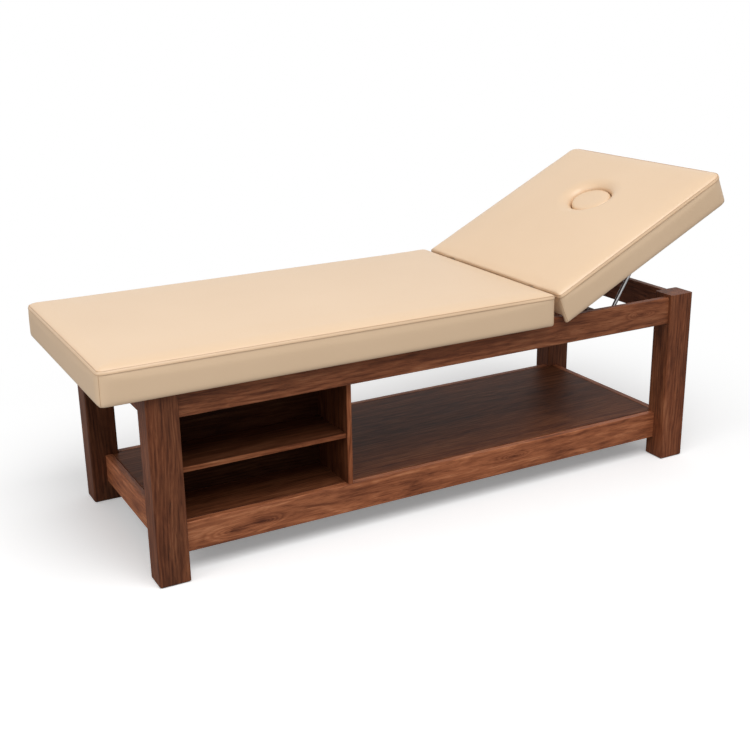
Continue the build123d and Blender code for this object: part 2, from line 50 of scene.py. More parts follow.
# The view: a long lens from the front foot corner, a little above the table,
# looking down over the cubby towards the raised back section.
foot_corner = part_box("leg_foot_front")[0]
eye = Vector((-0.7521, -2.5681, 1.4552)) + Vector((foot_corner.x, foot_corner.y, 0.0))
view_yaw, view_pitch, view_roll = radians(28.372), radians(18.663), radians(-0.943)
lens_in_pixels, picture_in_pixels, film_width = 1149.0, 750.0, 36.0
ahead = Vector((
    sin(view_yaw) * cos(view_pitch),
    cos(view_yaw) * cos(view_pitch),
    -sin(view_pitch),
))
level_right = ahead.cross(Vector((0, 0, 1))).normalized()
level_up = level_right.cross(ahead)
right = level_right * cos(view_roll) + level_up * sin(view_roll)
up = level_up * cos(view_roll) - level_right * sin(view_roll)
bpy.ops.object.camera_add()
camera = bpy.context.object
camera.name = "photographer"
camera.matrix_world = Matrix((
    (right.x, up.x, -ahead.x, eye.x),
    (right.y, up.y, -ahead.y, eye.y),
    (right.z, up.z, -ahead.z, eye.z),
    (0, 0, 0, 1),
))
camera.data.sensor_width = film_width
camera.data.lens = film_width * lens_in_pixels / picture_in_pixels
camera.data.clip_end = 100.0
scene.camera = camera
scene.view_settings.view_transform = "Standard"


# The floor: a plain pale studio floor of matt paint. It is near white where it
# is open, and it keeps the soft grey shadow that lies under the table.
def feed(tree, node, inputs):
    """Gives each input a plain value, or the output of another node."""
    for key, given in inputs.items():
        if isinstance(given, bpy.types.NodeSocket):
            tree.links.new(given, node.inputs[key])
        else:
            node.inputs[key].default_value = given


def add_node(tree, kind, inputs=None, **settings):
    """Adds a node with its settings and feeds its inputs."""
    node = tree.nodes.new("ShaderNode" + kind)
    for key, setting in settings.items():
        setattr(node, key, setting)
    feed(tree, node, inputs or {})
    return node


def value_sum(tree, operation, *given):
    """One sum on plain values, such as MULTIPLY."""
    return add_node(tree, "Math", dict(enumerate(given)), operation=operation).outputs["Value"]


def vector_sum(tree, operation, *given):
    """One sum on places or colours; LENGTH gives a plain value."""
    node = add_node(tree, "VectorMath", dict(enumerate(given)), operation=operation)
    return node.outputs["Value" if operation == "LENGTH" else "Vector"]


def map_range(tree, value, low, high, from_low=0.0, from_high=1.0, **settings):
    """Spreads a value from one range over another."""
    return add_node(tree, "MapRange", {
        "Value": value, "From Min": from_low, "From Max": from_high,
        "To Min": low, "To Max": high,
    }, **settings).outputs["Result"]


paint_tone_low, paint_tone_high, paint_tone_in_bounce = 0.93, 0.95, 0.42
veil_strength = 0.24
fade_from, fade_to = 0.9, 1.9
bpy.ops.object.select_all(action="DESELECT")
bpy.ops.mesh.primitive_circle_add(vertices=96, radius=30.0, fill_type="NGON")
floor = bpy.context.object
floor.name = "studio_floor"
floor_paint = bpy.data.materials.new("pale_floor_paint")
floor_paint.use_nodes = True
tree = floor_paint.node_tree
tree.nodes.clear()
place = add_node(tree, "TexCoord").outputs["Object"]
seen = add_node(tree, "LightPath").outputs["Is Camera Ray"]
speckle = add_node(tree, "TexNoise", {"Vector": place, "Scale": 6.0, "Detail": 3.0})
open_tone = map_range(tree, speckle.outputs["Fac"], paint_tone_low, paint_tone_high)
seen_tone = add_node(tree, "Mix", {"Factor": seen, "A": paint_tone_in_bounce, "B": open_tone})
matt = add_node(tree, "BsdfDiffuse", {"Color": seen_tone.outputs["Result"]})
veil = add_node(tree, "Emission", {"Strength": veil_strength})
veil_seen = add_node(tree, "MixShader", {"Fac": seen, 2: veil.outputs["Emission"]})
lit = add_node(tree, "AddShader", {0: matt.outputs["BSDF"], 1: veil_seen.outputs["Shader"]})
distance = vector_sum(tree, "LENGTH", place)
fade = map_range(
    tree, distance, 0.0, 1.0, fade_from, fade_to, interpolation_type="SMOOTHSTEP"
)
bright = add_node(tree, "Emission")
blend = add_node(tree, "MixShader", {
    "Fac": value_sum(tree, "MULTIPLY", fade, seen),
    1: lit.outputs["Shader"], 2: bright.outputs["Emission"],
})
add_node(tree, "OutputMaterial", {"Surface": blend.outputs["Shader"]})
floor.data.materials.append(floor_paint)


# The light: an even white studio round the table, one wide soft box high above
# the front of the table, and a weaker one on the foot side.
studio_white, studio_fill, studio_seen = (1.0, 1.0, 1.0, 1.0), 0.42, 1.0
world = bpy.data.worlds.new("studio")
scene.world = world
world.use_nodes = True
tree = world.node_tree
tree.nodes.clear()
ray = add_node(tree, "LightPath").outputs
fill = add_node(tree, "Background", {"Color": studio_white, "Strength": studio_fill})
backdrop = add_node(tree, "Background", {"Color": studio_white, "Strength": studio_seen})
seen_or_glossy = value_sum(tree, "MAXIMUM", ray["Is Camera Ray"], ray["Is Glossy Ray"])
studio = add_node(tree, "MixShader", {
    "Fac": value_sum(tree, "MAXIMUM", seen_or_glossy, ray["Is Transmission Ray"]),
    1: fill.outputs["Background"], 2: backdrop.outputs["Background"],
})
add_node(tree, "OutputWorld", {"Surface": studio.outputs["Shader"]})

lamp_aim = Vector((0.0, 0.0, 0.4))
for lamp_name, lamp_place, lamp_size, lamp_watts in (
    ("soft_box_overhead", (-0.3, -2.4, 4.6), 3.6, 148.0),
    ("soft_box_foot_side", (-4.2, -0.8, 2.4), 2.4, 45.0),
):
    bpy.ops.object.light_add(type="AREA", location=lamp_place)
    lamp = bpy.context.object
    lamp.name = lamp_name
    lamp.data.size = lamp_size
    lamp.data.energy = lamp_watts
    lamp.rotation_euler = (lamp_aim - Vector(lamp_place)).to_track_quat("-Z", "Y").to_euler()


# The four legs: square posts of solid hardwood, 85 by 75 mm, sawn so that the
# flat grain shows, stained a deep reddish brown and rubbed to a satin finish.
along_x, along_y, along_z = (0.0, 0.0, 0.0), (0.0, 0.0, radians(90)), (0.0, radians(-90), 0.0)
stain_dark = (0.070, 0.0195, 0.0085, 1.0)
stain_deep = (0.182, 0.0560, 0.0235, 1.0)
stain_warm = (0.350, 0.1200, 0.0510, 1.0)
stain_light = (0.560, 0.2400, 0.1160, 1.0)
redder_stain = (1.0, 0.80, 0.70, 1.0)
tree_bend, knot_bulge, fine_wander, rings_per_metre = 0.050, 0.055, 0.010, 105.0
ring_share, knot_share, pore_dark = 0.95, -1.2, 0.45
tone_from, tone_to = 1.90, 3.50
# painted shade inside the cubby: how far the lit front edge reaches, the blend, and how dark the
# rest is painted
lit_front_depth, shade_blend, painted_shade_inside = 0.0040, 0.0004, 0.40
mix_colour_a, mix_colour_b, mix_colour_out = 6, 7, 2


def ramp(tree, value, *stops):
    """A colour ramp; each stop is a place and a colour, in rising order."""
    node = add_node(tree, "ValToRGB", {"Fac": value})
    elements = node.color_ramp.elements
    elements[0].position, elements[0].color = stops[0]
    elements[1].position, elements[1].color = stops[-1]
    for stop, colour in stops[1:-1]:
        elements.new(stop).color = colour
    return node.outputs["Color"]


def scaled(tree, vector, share):
    """A colour made lighter or darker by a plain value."""
    node = add_node(tree, "VectorMath", {"Vector": vector, "Scale": share}, operation="SCALE")
    return node.outputs["Vector"]


def grey(tone):
    """A grey of one tone."""
    return (tone, tone, tone, 1.0)


def stained_wood(
    name, run, heart, lean=(0.0, 0.0), knots=(), tone=1.0, redness=0.5,
    gloss=0.50, sheen=0.20, shade_behind_y=None,
):
    """A stained board whose grain runs along one axis; heart is a point on the
    line at the middle of the tree, and each knot is a place and its reach. Given
    the y of a front edge, the board is painted darker behind that edge, as
    painted shade for the shade inside the cubby."""
    wood = bpy.data.materials.new(name)
    wood.use_nodes = True
    t = wood.node_tree
    t.nodes.clear()
    where = add_node(t, "TexCoord").outputs["Object"]
    grain = add_node(t, "Mapping", {
        "Vector": where, "Location": heart,
        "Rotation": (run[0], run[1] + radians(lean[0]), run[2] + radians(lean[1])),
    }, vector_type="TEXTURE").outputs["Vector"]

    def streaks(size, detail, rough=0.55, warp=0.0):
        """Noise drawn out along the grain; a larger size is finer."""
        drawn_out = add_node(t, "Mapping", {"Vector": grain, "Scale": size})
        return add_node(t, "TexNoise", {
            "Vector": drawn_out.outputs["Vector"], "Scale": 1.0, "Detail": detail,
            "Roughness": rough, "Distortion": warp,
        }).outputs

    # slow bends of the tree along its length, then the distance from its middle
    bend = streaks((2.2, 9.0, 9.0), 2.0)["Color"]
    centred = vector_sum(t, "SUBTRACT", bend, (0.5, 0.5, 0.5))
    bent = vector_sum(t, "MULTIPLY_ADD", centred, (0.0, tree_bend, tree_bend), grain)
    rings_at = vector_sum(t, "LENGTH", vector_sum(t, "MULTIPLY", bent, (0.0, 1.0, 1.0)))

    # the rings go round each knot
    knot_eyes = []
    for knot_place, knot_size in knots:
        spot = add_node(t, "Mapping", {
            "Vector": where, "Location": knot_place, "Scale": knot_size,
        }, vector_type="TEXTURE").outputs["Vector"]
        bulge = add_node(
            t, "TexGradient", {"Vector": spot}, gradient_type="QUADRATIC_SPHERE"
        ).outputs["Fac"]
        rings_at = value_sum(t, "MULTIPLY_ADD", bulge, knot_bulge, rings_at)
        knot_eyes.append(value_sum(t, "POWER", bulge, 3.0))
    wander = streaks((9.0, 60.0, 60.0), 3.0)["Fac"]
    rings_at = value_sum(t, "MULTIPLY_ADD", wander, fine_wander, rings_at)

    # year rings: each darkens slowly outwards and ends in a thin dark line
    ring = value_sum(t, "FRACT", value_sum(t, "MULTIPLY", rings_at, rings_per_metre))
    ring_tone = ramp(
        t, ring, (0.0, grey(0.55)), (0.30, grey(0.70)), (0.86, grey(0.34)), (1.0, grey(0.50))
    )

    # the rings over the fine fibres, then broad bands, flames and flecks
    fibres = streaks((8.0, 420.0, 420.0), 3.0, 0.6)["Fac"]
    tone_sum = value_sum(t, "MULTIPLY_ADD", ring_tone, ring_share, fibres)
    for size, detail, rough, warp, share in (
        ((2.2, 30.0, 30.0), 3.0, 0.6, 0.8, 1.40),
        ((6.5, 44.0, 44.0), 3.0, 0.6, 1.4, 1.30),
        ((14.0, 130.0, 130.0), 2.0, 0.5, 0.6, 0.70),
    ):
        layer = streaks(size, detail, rough, warp)["Fac"]
        tone_sum = value_sum(t, "MULTIPLY_ADD", layer, share, tone_sum)
    for knot_eye in knot_eyes:
        tone_sum = value_sum(t, "MULTIPLY_ADD", knot_eye, knot_share, tone_sum)
    stain = ramp(
        t, map_range(t, tone_sum, 0.0, 1.0, tone_from, tone_to),
        (0.0, stain_dark), (0.30, stain_deep), (0.62, stain_warm), (1.0, stain_light),
    )

    # open pores hold more stain, as short dark dashes
    pores = streaks((34.0, 900.0, 900.0), 2.0, 0.5)["Fac"]
    dashed = scaled(t, stain, map_range(t, pores, tone, tone * pore_dark, 0.60, 0.70))
    # painted shade: the board is made darker behind its front edge, for the shade inside the cubby
    if shade_behind_y is not None:
        depth = add_node(t, "SeparateXYZ", {"Vector": where}).outputs["Y"]
        shade_from = shade_behind_y + lit_front_depth
        dashed = scaled(
            t, dashed, map_range(t, depth, 1.0, painted_shade_inside, shade_from, shade_from + shade_blend)
        )

    # patches where the stain took redder or browner
    patch = streaks((1.8, 8.0, 8.0), 2.0)["Fac"]
    redder = add_node(t, "Mix", {
        "Factor": map_range(t, patch, 0.0, redness, 0.35, 0.65),
        mix_colour_a: dashed, mix_colour_b: redder_stain,
    }, data_type="RGBA", blend_type="MULTIPLY").outputs[mix_colour_out]

    relief = add_node(t, "Bump", {"Height": tone_sum, "Strength": 0.35, "Distance": 0.0004})
    surface = add_node(t, "BsdfPrincipled", {
        "Base Color": redder, "Normal": relief.outputs["Normal"],
        "Roughness": map_range(t, fibres, gloss - 0.06, gloss + 0.12),
        "Specular IOR Level": sheen,
    })
    add_node(t, "OutputMaterial", {"Surface": surface.outputs["BSDF"]})
    return wood


def finish_in(material, *names):
    """Puts a finish on pieces that keep their worked shape."""
    for piece_name in names:
        finishes = frame["nodes"][piece_name].data.materials
        finishes.clear()
        finishes.append(material)


def heart_near(piece_name, off):
    """The middle of a board's tree, as far off from the middle of the board."""
    low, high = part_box(piece_name)
    return tuple((low[i] + high[i]) / 2 + off[i] for i in range(3))


for leg_name, heart_off, leg_lean, leg_tone in (
    ("leg_foot_front", (0.045, -0.050, 0.0), (1.2, -0.8), 0.56),
    ("leg_foot_back", (0.080, 0.030, 0.0), (-1.0, 0.9), 0.42),
    ("leg_head_front", (-0.060, -0.045, 0.0), (0.8, 1.3), 0.66),
    ("leg_head_back", (0.050, -0.070, 0.0), (-1.3, -0.6), 0.55),
):
    leg_wood = stained_wood(
        "wood_" + leg_name, along_z, heart_near(leg_name, heart_off), leg_lean,
        tone=leg_tone, redness=0.65,
    )
    finish_in(leg_wood, leg_name)


# The upper rails: boards on edge, 84 by 22 mm, tenoned into the legs. Their
# arrises are eased, and the front one shows a small knot by the head leg. Their
# lower tone is painted shade, for the shade under the cushion's overhang.
for rail_name, run, heart_off, rail_lean, rail_knots in (
    ("top_rail_front", along_x, (0.0, 0.060, 0.020), (0.5, 1.2),
     (((0.700, -0.33, 0.497), (0.085, 0.06, 0.020)),)),
    ("top_rail_back", along_x, (0.0, -0.055, -0.015), (-0.4, 1.0), ()),
    ("top_rail_foot", along_y, (0.050, 0.0, 0.010), (0.7, -1.0), ()),
    ("top_rail_head", along_y, (-0.045, 0.0, -0.020), (-0.6, 1.1), ()),
):
    # painted shade: tone 0.76 darkens these rails for the shade under the cushion's overhang
    rail_wood = stained_wood(
        "wood_" + rail_name, run, heart_near(rail_name, heart_off), rail_lean, rail_knots,
        tone=0.76, redness=0.35,
    )
    finish_in(rail_wood, rail_name)


# The lower rails: the same boards nearer the floor. The front one has a broad
# flame in its figure at the foot end, where it goes round a knot. Their higher
# tone is painted light, for the light that they catch clear of the cushion.
for rail_name, run, heart_off, rail_lean, rail_knots in (
    ("low_rail_front", along_x, (0.0, 0.050, -0.012), (-0.4, 0.9),
     (((-0.566, -0.29, 0.098), (0.120, 0.06, 0.024)),
      ((-0.640, -0.29, 0.090), (0.150, 0.06, 0.034)),
      ((0.260, -0.29, 0.112), (0.090, 0.06, 0.018)))),
    ("low_rail_back", along_x, (0.0, -0.060, 0.018), (0.5, -1.0), ()),
    ("low_rail_foot", along_y, (0.055, 0.0, -0.012), (0.9, 0.8), ()),
    ("low_rail_head", along_y, (-0.050, 0.0, 0.016), (-0.7, -0.9), ()),
):
    # painted light: tone 1.18 makes these rails lighter, for the light that falls on them
    rail_wood = stained_wood(
        "wood_" + rail_name, run, heart_near(rail_name, heart_off), rail_lean, rail_knots,
        tone=1.18, redness=0.20,
    )
    finish_in(rail_wood, rail_name)


# The storage board and the battens that carry it: a wide glued board, 12 mm
# thick, stained darker and greyer than the frame, flush with the lower rails.
board_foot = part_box("storage_board")[0].z
board_wood = stained_wood(
    "wood_storage_board", along_x, (0.0, 0.05, board_foot - 0.10), (0.3, 0.5),
    tone=0.44, redness=0.35, gloss=0.46, sheen=0.05,
)
finish_in(board_wood, "storage_board")
batten_wood = stained_wood(
    "wood_battens", along_x, (0.0, 0.0, board_foot - 0.09), (0.5, 0.4), tone=0.5
)
finish_in(batten_wood, "board_battens")


# The cubby: two upright panels, a back panel and one loose shelf on pins, all
# stained boards. Behind their front edges the uprights and the shelf are painted
# darker, and the back panel is painted nearly black: painted shade for the
# shade inside the cubby.
upright_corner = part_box("cubby_end_panel")[0]
upright_wood = stained_wood(
    "wood_cubby_uprights", along_z, (upright_corner.x - 0.05, -0.26, 0.3), (0.8, 0.7),
    tone=0.95, sheen=0.10, shade_behind_y=upright_corner.y,
)
finish_in(upright_wood, "cubby_end_panel", "cubby_divider")
# painted shade: the back panel's low tone of 0.16 stands for the deep shade at the back of the
# cubby
shaded_cubby_back_wood = stained_wood(
    "wood_cubby_back_painted_shade", along_x, (-0.5, -0.05, 0.30), (0.6, 0.5), tone=0.16, sheen=0.05
)
finish_in(shaded_cubby_back_wood, "cubby_back_panel")
shelf_wood = stained_wood(
    "wood_cubby_shelf", along_x, (-0.5, -0.24, 0.22), (0.6, 0.8),
    tone=0.78, sheen=0.10, shade_behind_y=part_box("cubby_shelf")[0].y,
)
finish_in(shelf_wood, "cubby_shelf")


# The bearers, boards, blocks and racks under the cushions: plain stained
# battens between the rails, the two boards that the foam is glued to, and
# what holds the prop. Only edges of them show.
for beam_name, run, beam_heart in (
    ("deck_bearers", along_y, (-0.2, 0.0, 0.44)),
    ("hinge_bearer", along_y, (0.36, 0.0, 0.43)),
    ("back_bearer", along_y, (0.56, 0.0, 0.45)),
    ("deck_board", along_x, (0.0, 0.1, 0.44)),
    ("back_board", along_x, (0.7, 0.1, 0.58)),
    ("prop_blocks", along_y, (0.74, 0.0, 0.66)),
):
    beam_wood = stained_wood("wood_" + beam_name, run, beam_heart, (0.6, 0.5), tone=0.45)
    finish_in(beam_wood, beam_name)
rack_wood = stained_wood("wood_racks", along_x, (0.63, 0.0, 0.43), (0.5, 0.6), tone=0.5)
finish_in(rack_wood, "prop_rack_front", "prop_rack_back")


# The steel: the prop is one bent bar of drawn steel, light grey with fine
# lengthways marks; the hinges, bolts and screws are plain zinc plated steel.
def drawn_steel(name, colour, rough, mark_size):
    """Bare steel with fine marks, where it is darker and duller by turns."""
    steel = bpy.data.materials.new(name)
    steel.use_nodes = True
    t = steel.node_tree
    where = add_node(t, "TexCoord").outputs["Object"]
    drawn_out = add_node(t, "Mapping", {"Vector": where, "Scale": mark_size}).outputs["Vector"]
    marks = add_node(
        t, "TexNoise", {"Vector": drawn_out, "Scale": 1.0, "Detail": 4.0}
    ).outputs["Fac"]
    marked = tuple(c * 0.82 for c in colour[:3]) + (1.0,)
    relief = add_node(t, "Bump", {"Height": marks, "Strength": 0.15, "Distance": 0.0002})
    feed(t, t.nodes["Principled BSDF"], {
        "Base Color": ramp(t, marks, (0.0, marked), (1.0, colour)), "Metallic": 1.0,
        "Roughness": map_range(t, marks, rough - 0.08, rough + 0.12),
        "Normal": relief.outputs["Normal"],
    })
    return steel


prop_steel = drawn_steel("prop_steel", (0.62, 0.62, 0.63, 1.0), 0.32, (300.0, 60.0, 60.0))
finish_in(prop_steel, "prop_frame")
plated_steel = drawn_steel(
    "zinc_plated_steel", (0.55, 0.55, 0.54, 1.0), 0.40, (220.0, 220.0, 90.0)
)
finish_in(
    plated_steel,
    "hinge_bracket_front", "hinge_bracket_back", "hinge_lug_front", "hinge_lug_back",
    "hinge_bolts", "bracket_screws", "lug_screws", "shelf_pins",
)


# The main cushion: a foam slab, about 1.33 by 0.72 m, in a cover of cream
# artificial leather with a fine pebble grain. The cover's skirt comes down
# round the deck board and the tops of the legs and rails.
cream_low, cream_high = (0.785, 0.562, 0.362), (0.815, 0.590, 0.386)
pebble_scale, crease_scale, cloud_scale, crease_share = 750.0, 160.0, 2.6, 0.6


def cream_cover(name, shade=(1.0, 1.0, 1.0)):
    """Cream artificial leather; shade makes another tone of it."""
    cover = bpy.data.materials.new(name)
    cover.use_nodes = True
    t = cover.node_tree
    where = add_node(t, "TexCoord").outputs["Object"]
    pebble = add_node(
        t, "TexVoronoi", {"Vector": where, "Scale": pebble_scale, "Smoothness": 0.6},
        feature="SMOOTH_F1",
    ).outputs["Distance"]
    crease, cloud = (
        add_node(
            t, "TexNoise", {"Vector": where, "Scale": size, "Detail": detail}
        ).outputs["Fac"]
        for size, detail in ((crease_scale, 4.0), (cloud_scale, 3.0))
    )
    low, high = (
        tuple(c * s for c, s in zip(cream, shade)) + (1.0,) for cream in (cream_low, cream_high)
    )
    height = value_sum(t, "MULTIPLY_ADD", crease, crease_share, pebble)
    relief = add_node(t, "Bump", {"Height": height, "Strength": 0.22, "Distance": 0.0005})
    feed(t, t.nodes["Principled BSDF"], {
        "Base Color": ramp(t, cloud, (0.30, low), (0.70, high)),
        "Roughness": map_range(t, crease, 0.34, 0.48), "Specular IOR Level": 0.85,
        "Normal": relief.outputs["Normal"],
    })
    return cover


def only(piece):
    """Makes one object the selected and active one."""
    bpy.ops.object.select_all(action="DESELECT")
    piece.select_set(True)
    bpy.context.view_layer.objects.active = piece


def pick(piece, wanted, kind="FACE"):
    """In edit mode, selects the faces by their middle and normal, or the edges
    by their two ends, that pass the test."""
    only(piece)
    bpy.ops.object.mode_set(mode="EDIT")
    bpy.ops.mesh.select_mode(type=kind)
    bpy.ops.mesh.select_all(action="DESELECT")
    bpy.ops.object.mode_set(mode="OBJECT")
    mesh = piece.data
    if kind == "FACE":
        for face in mesh.polygons:
            face.select = wanted(face.center, face.normal)
    else:
        for edge in mesh.edges:
            a, b = (mesh.vertices[i].co for i in edge.vertices)
            edge.select = wanted(a, b)
    bpy.ops.object.mode_set(mode="EDIT")


def block(name, low, high):
    """A block between two corners, with its place in its mesh."""
    bpy.ops.object.select_all(action="DESELECT")
    middle = [(a + b) / 2 for a, b in zip(low, high)]
    bpy.ops.mesh.primitive_cube_add(size=1.0, location=middle)
    piece = bpy.context.object
    piece.name = name
    piece.scale = [b - a for a, b in zip(low, high)]
    bpy.ops.object.transform_apply(location=True, rotation=True, scale=True)
    return piece


def apply_modifier(piece, kind, **settings):
    """Adds one modifier with its settings and applies it."""
    only(piece)
    modifier = piece.modifiers.new(kind.lower(), kind)
    for key, value in settings.items():
        setattr(modifier, key, value)
    bpy.ops.object.modifier_apply(modifier=modifier.name)


def cut_away(piece, cutter):
    """Takes the cutter's shape out of a piece and drops the cutter."""
    apply_modifier(piece, "BOOLEAN", operation="DIFFERENCE", object=cutter, solver="EXACT")
    bpy.data.objects.remove(cutter, do_unlink=True)


def crown(piece, steps):
    """Raises the flat top of a block in steps, each one further in."""
    pick(piece, lambda c, n: n.z > 0.99)
    for inward, rise in steps:
        bpy.ops.mesh.inset(thickness=inward, depth=rise)
    bpy.ops.object.mode_set(mode="OBJECT")


def shift_edges(piece, wanted, by):
    """Moves the edges that pass the test."""
    pick(piece, wanted, "EDGE")
    bpy.ops.transform.translate(value=by)
    bpy.ops.object.mode_set(mode="OBJECT")


def round_edges(piece, wanted, size, segments):
    """Rounds the edges that pass the test."""
    pick(piece, wanted, "EDGE")
    bpy.ops.mesh.bevel(offset=size, segments=segments, profile=0.5)
    bpy.ops.object.mode_set(mode="OBJECT")


touching, least_upright = 1e-4, 0.03


def level_at(z):
    """A test for the edges that run round a block at one height."""
    return lambda a, b: abs(a.z - z) < touching and abs(b.z - z) < touching


def upright_at(at_end):
    """A test for the tall upright edges at one end of a block."""
    return lambda a, b: at_end(a.x) and at_end(b.x) and abs(a.z - b.z) > least_upright


def stuff(piece, held, voxel, most, steps=10):
    """Fills a cover as foam does: a cloth swells under pressure while the
    vertices that the test holds stay, and no point moves further than most."""
    only(piece)
    piece.data.remesh_voxel_size = voxel
    piece.data.remesh_voxel_adaptivity = 0.0
    bpy.ops.object.voxel_remesh()
    start = [v.co.copy() for v in piece.data.vertices]
    group = piece.vertex_groups.new(name="held")
    group.add([v.index for v in piece.data.vertices if held(v.co)], 1.0, "ADD")
    cloth = piece.modifiers.new("cloth", "CLOTH")
    cloth.settings.use_pressure = True
    cloth.settings.uniform_pressure_force = 4.0
    cloth.settings.vertex_group_mass = group.name
    cloth.settings.tension_stiffness = 25.0
    cloth.settings.compression_stiffness = 25.0
    cloth.settings.shear_stiffness = 15.0
    cloth.settings.bending_stiffness = 2.0
    cloth.settings.effector_weights.gravity = 0.0
    cloth.point_cache.frame_start = 1
    cloth.point_cache.frame_end = steps + 5
    for step in range(1, steps + 1):
        scene.frame_set(step)
    only(piece)
    bpy.ops.object.modifier_apply(modifier=cloth.name)
    scene.frame_set(1)
    for v, was in zip(piece.data.vertices, start):
        moved = v.co - was
        if moved.length > most:
            v.co = was + moved * (most / moved.length)
    piece.vertex_groups.clear()
    apply_modifier(piece, "SMOOTH", factor=0.5, iterations=5)
    only(piece)
    bpy.ops.object.shade_smooth()


m_low, m_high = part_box("main_cushion")
deck_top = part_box("deck_board")[1].z
leg_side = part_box("leg_foot_back")[1].y
seam_below_top, edge_below_top, side_inset, swell = 0.0175, 0.010, 0.003, 0.0014
top_round, bottom_round, cut_past, cut_past_end = 0.007, 0.005, 0.02, 0.05
rim_hold, skirt_hold, skirt_wall = 0.006, 0.010, 0.028
main_foot_inset, main_head_inset = 0.002, 0.001
main_crown = ((0.016, 0.0046), (0.032, 0.0032), (0.080, 0.0026))
main_foot_corner, main_head_corner = 0.016, 0.007
foot_edge_dip, near_edge, edge_slack = 0.004, 0.001, 0.0005
main_skirt_thick, main_skirt_gap = 0.021, 0.004
deck_hold, head_face_hold, main_voxel = 0.004, 0.002, 0.0065
main_foot, main_head = m_low.x + main_foot_inset, m_high.x - main_head_inset
main_side = m_high.y - side_inset
main_edge = m_high.z - edge_below_top
main = block(
    "main_cushion_cover",
    (main_foot, -main_side, m_low.z),
    (main_head, main_side, main_edge),
)
crown(main, main_crown)
shift_edges(
    main,
    lambda a, b: max(a.x, b.x) < main_foot + near_edge and min(a.z, b.z) > main_edge - near_edge,
    (0.0, 0.0, -foot_edge_dip),
)
round_edges(main, upright_at(lambda x: abs(x - main_foot) < touching), main_foot_corner, 6)
round_edges(main, upright_at(lambda x: abs(x - main_head) < touching), main_head_corner, 6)
round_edges(
    main,
    lambda a, b: min(a.z, b.z) > main_edge - foot_edge_dip - edge_slack
    and max(a.z, b.z) < main_edge + edge_slack,
    top_round, 5,
)
round_edges(main, level_at(m_low.z), bottom_round, 3)
cut_away(main, block(
    "skirt_inside",
    (m_low.x + main_skirt_thick, -leg_side - main_skirt_gap, m_low.z - cut_past),
    (m_high.x + cut_past_end, leg_side + main_skirt_gap, deck_top),
))


def main_held(co):
    """The rim, the head face and the inside of the skirt stay."""
    in_skirt = (
        co.z < deck_top + deck_hold
        and abs(co.y) < leg_side + skirt_hold
        and co.x > m_low.x + skirt_wall
    )
    return co.z < m_low.z + rim_hold or co.x > main_head - head_face_hold or in_skirt


stuff(main, main_held, main_voxel, swell)
cover_leather = cream_cover("cream_cover")
main.data.materials.append(cover_leather)
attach(main, "frame")
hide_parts("main_cushion")


# The seams of the cover: the top panel laps the side band by 8 mm and is sewn
# down with one row of thread; the side band is joined upright at the corners.
# The thin folds along the lap and the corner joins are painted darker, as
# painted shade for the shade in the creases.
seam_shade = cream_cover("cream_cover_lap", (0.98, 0.96, 0.94))
# painted shade: a darker, redder cream for the shade in the creases of the seams
painted_crease_shade = cream_cover("cream_cover_painted_crease_shade", (0.70, 0.61, 0.52))
thread_shade = cream_cover("cream_thread", (1.02, 1.02, 1.02))
lap_width, lap_thick = 0.0076, 0.0012
fold_width, fold_thick = 0.0015, 0.0016
strip_round_share = 0.4
join_width, join_thick, join_reach, join_over_rim = 0.0014, 0.0006, 0.05, 0.004
stitch_long, stitch_pitch, stitch_half_wide = 0.0034, 0.0048, 0.0005
stitch_sunk, stitch_proud, stitch_round, thread_below_seam = 0.0004, 0.0006, 0.0003, 0.0012


def strip_of(cover, name, planes, keep, thick):
    """A strip of the cover between its planes, with its own thickness."""
    strip = cover.copy()
    strip.data = cover.data.copy()
    strip.name = name
    strip.parent = None
    bpy.context.collection.objects.link(strip)
    for place_on, away in planes:
        only(strip)
        bpy.ops.object.mode_set(mode="EDIT")
        bpy.ops.mesh.select_all(action="SELECT")
        bpy.ops.mesh.bisect(plane_co=place_on, plane_no=away, clear_outer=True)
        bpy.ops.object.mode_set(mode="OBJECT")
    pick(strip, lambda c, n: not keep(c))
    bpy.ops.mesh.delete(type="FACE")
    bpy.ops.object.mode_set(mode="OBJECT")
    apply_modifier(strip, "SOLIDIFY", thickness=thick, offset=1.0)
    apply_modifier(
        strip, "BEVEL", width=thick * strip_round_share, segments=2, limit_method="ANGLE"
    )
    only(strip)
    bpy.ops.object.shade_smooth()
    return strip


def thread_on(lap, name, plane_at, plane_up):
    """A row of stitches laid round a lap where a plane meets it."""
    line = lap.copy()
    line.data = lap.data.copy()
    line.name = name + "_line"
    bpy.context.collection.objects.link(line)
    only(line)
    bpy.ops.object.mode_set(mode="EDIT")
    bpy.ops.mesh.select_all(action="SELECT")
    bpy.ops.mesh.bisect(plane_co=plane_at, plane_no=plane_up, clear_inner=True, clear_outer=True)
    bpy.ops.object.mode_set(mode="OBJECT")
    bpy.ops.object.convert(target="CURVE")
    stitch = block(
        name, (0.0, -stitch_half_wide, -stitch_sunk), (stitch_long, stitch_half_wide, stitch_proud)
    )
    apply_modifier(stitch, "BEVEL", width=stitch_round, segments=1)
    apply_modifier(
        stitch, "ARRAY", fit_type="FIT_CURVE", curve=line,
        use_relative_offset=False, use_constant_offset=True,
        constant_offset_displace=(stitch_pitch, 0.0, 0.0),
    )
    apply_modifier(stitch, "CURVE", object=line, deform_axis="POS_X")
    bpy.data.objects.remove(line, do_unlink=True)
    only(stitch)
    bpy.ops.object.shade_smooth()
    return stitch


def dress(piece, material, body):
    """Gives a strip or thread its finish and the body that it moves with."""
    piece.data.materials.clear()
    piece.data.materials.append(material)
    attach(piece, body)


